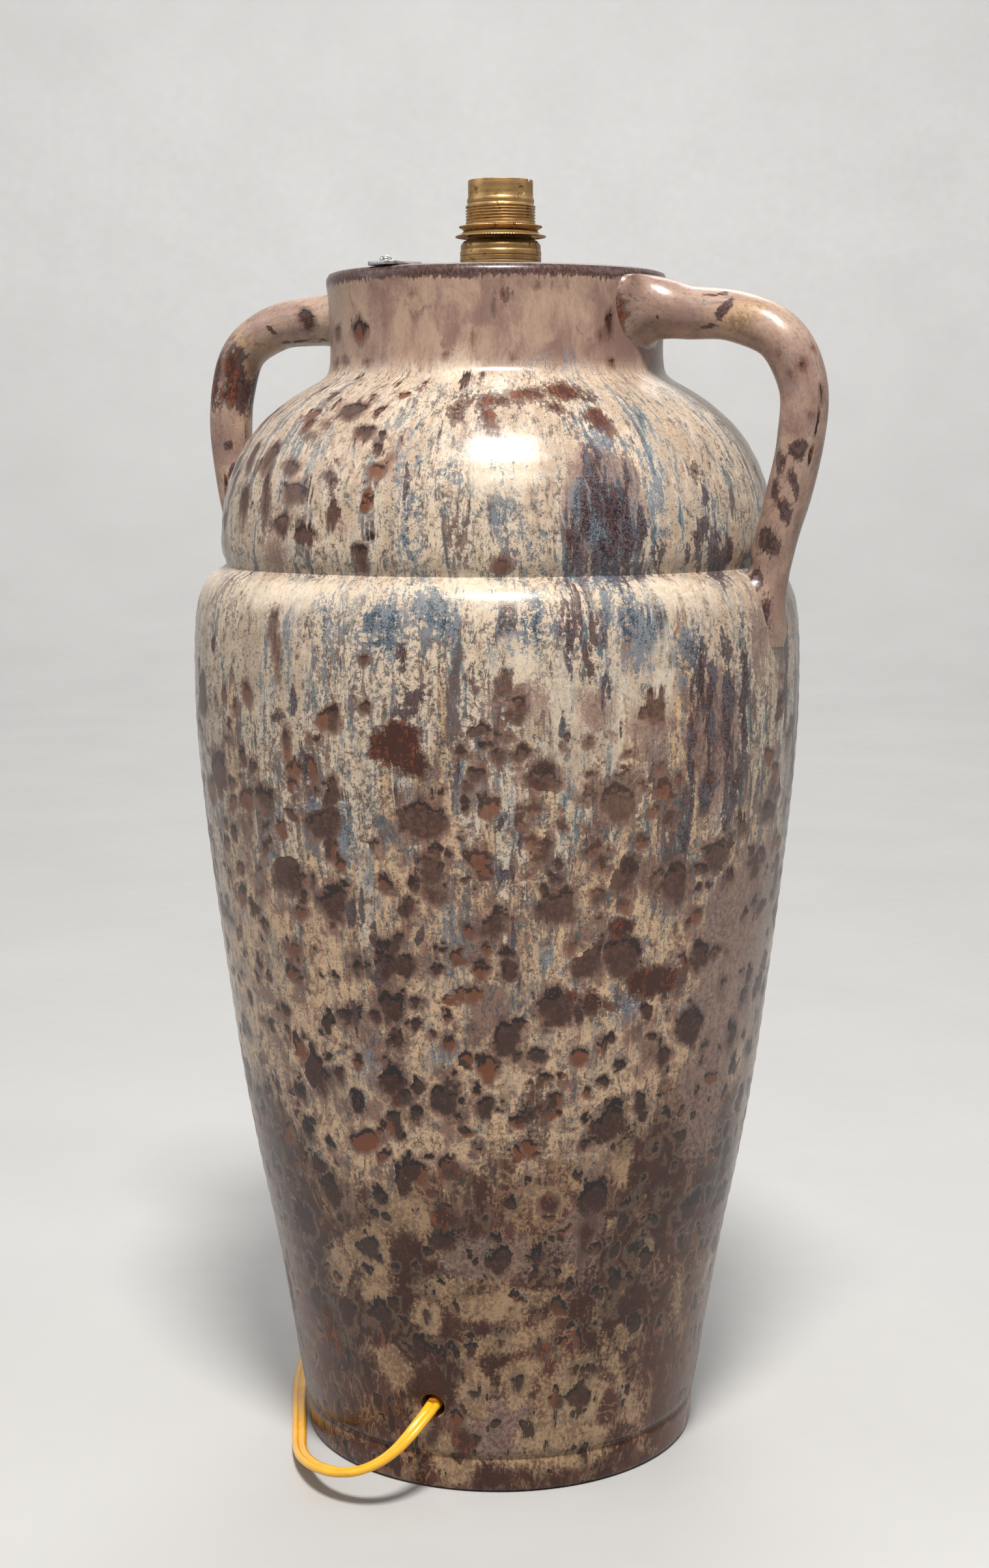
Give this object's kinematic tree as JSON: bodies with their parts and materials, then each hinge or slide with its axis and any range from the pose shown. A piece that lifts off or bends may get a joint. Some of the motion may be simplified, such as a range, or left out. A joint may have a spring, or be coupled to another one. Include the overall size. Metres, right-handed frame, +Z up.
{
  "type": "table lamp base",
  "caption": "Two-handled stepped-shoulder stoneware vase wired as a lamp base: brass bayonet lampholder on a crossbar over the open mouth, flat flex, in-line rocker switch and flat plug.",
  "frame": {"origin": "centre of the foot, on the surface that the lamp stands on", "axes": "+Z up along the vase's axis; the two handles lie along +X and -X; the flex leaves the foot near -Y and the switch, coil and plug lie behind, towards -X and +Y"},
  "size_m": [0.2866, 0.3219, 0.4938],
  "materials": {
    "glaze": "glossy mottled glaze in tan, brown, rust and slate blue",
    "steel": "dull zinc",
    "screw_steel": "bright plated",
    "aged_brass": "old lacquered brass, stained",
    "brass": "plain",
    "spring_steel": "plain",
    "insulator": "unglazed",
    "fibre": "matt",
    "flex": "golden yellow, soft gloss",
    "ivory_plastic": "ivory, satin",
    "brown_plastic": "dark brown, satin",
    "tie_plastic": "black, matt",
    "plug_plastic": "ivory, satin"
  },
  "bodies": {
    "lamp": {"vase_body": "glaze", "handle_right": "glaze", "handle_left": "glaze", "crossbar": "steel", "crossbar_screw_front": "screw_steel", "crossbar_screw_back": "screw_steel", "wall_plug_front": "fibre", "wall_plug_back": "fibre", "nipple": "brass", "nipple_washer": "steel", "nipple_nut": "steel", "holder_cap": "aged_brass", "cap_grub_screw": "screw_steel", "holder_union_ring": "aged_brass", "holder_barrel": "aged_brass", "holder_insert": "insulator", "plunger_spring_left": "spring_steel", "plunger_spring_right": "spring_steel", "terminal_left": "brass", "terminal_right": "brass", "terminal_screw_left": "screw_steel", "terminal_screw_right": "screw_steel", "flex_inside": "flex", "flex_lamp_side": "flex", "flex_plug_side": "flex", "flex_coil": "flex", "flex_tail": "flex", "coil_tie": "tie_plastic", "switch_base": "ivory_plastic", "switch_cover": "ivory_plastic", "switch_case_screw_a": "screw_steel", "switch_case_screw_b": "screw_steel", "rocker_pin": "screw_steel", "switch_contact_in": "brass", "switch_contact_out": "brass", "switch_terminal_screw_in": "screw_steel", "switch_terminal_screw_out": "screw_steel", "plug_body": "plug_plastic", "plug_pin_left": "brass", "plug_pin_right": "brass"},
    "contact_left": {"contact_plunger_left": "brass"},
    "contact_right": {"contact_plunger_right": "brass"},
    "upper_shade_ring": {"shade_ring_upper": "aged_brass"},
    "lower_shade_ring": {"shade_ring_lower": "aged_brass"},
    "rocker": {"switch_rocker": "brown_plastic", "rocker_contact": "brass"}
  },
  "joints": [
    {"name": "contact_left_slide", "type": "slide", "parent": "lamp", "child": "contact_left", "axis": [0, 0, 1], "range_m": [-0.0026, 0], "stiffness_N_per_m": 1500, "springref_m": 0.0015, "deforming": ["plunger_spring_left"]},
    {"name": "contact_right_slide", "type": "slide", "parent": "lamp", "child": "contact_right", "axis": [0, 0, 1], "range_m": [-0.0026, 0], "stiffness_N_per_m": 1500, "springref_m": 0.0015, "deforming": ["plunger_spring_right"]},
    {"name": "upper_ring_slide", "type": "slide", "parent": "lamp", "child": "upper_shade_ring", "axis": [0, 0, 1], "range_m": [0, 0.007]},
    {"name": "lower_ring_slide", "type": "slide", "parent": "lamp", "child": "lower_shade_ring", "axis": [0, 0, 1], "range_m": [-0.0011, 0]},
    {"name": "switch_rocker_hinge", "type": "hinge", "parent": "lamp", "child": "rocker", "pos_m": [-0.06654, 0.09117, 0.0136], "axis": [-0.4848, 0.8746, 0], "range_deg": [0, 16]}
  ]
}
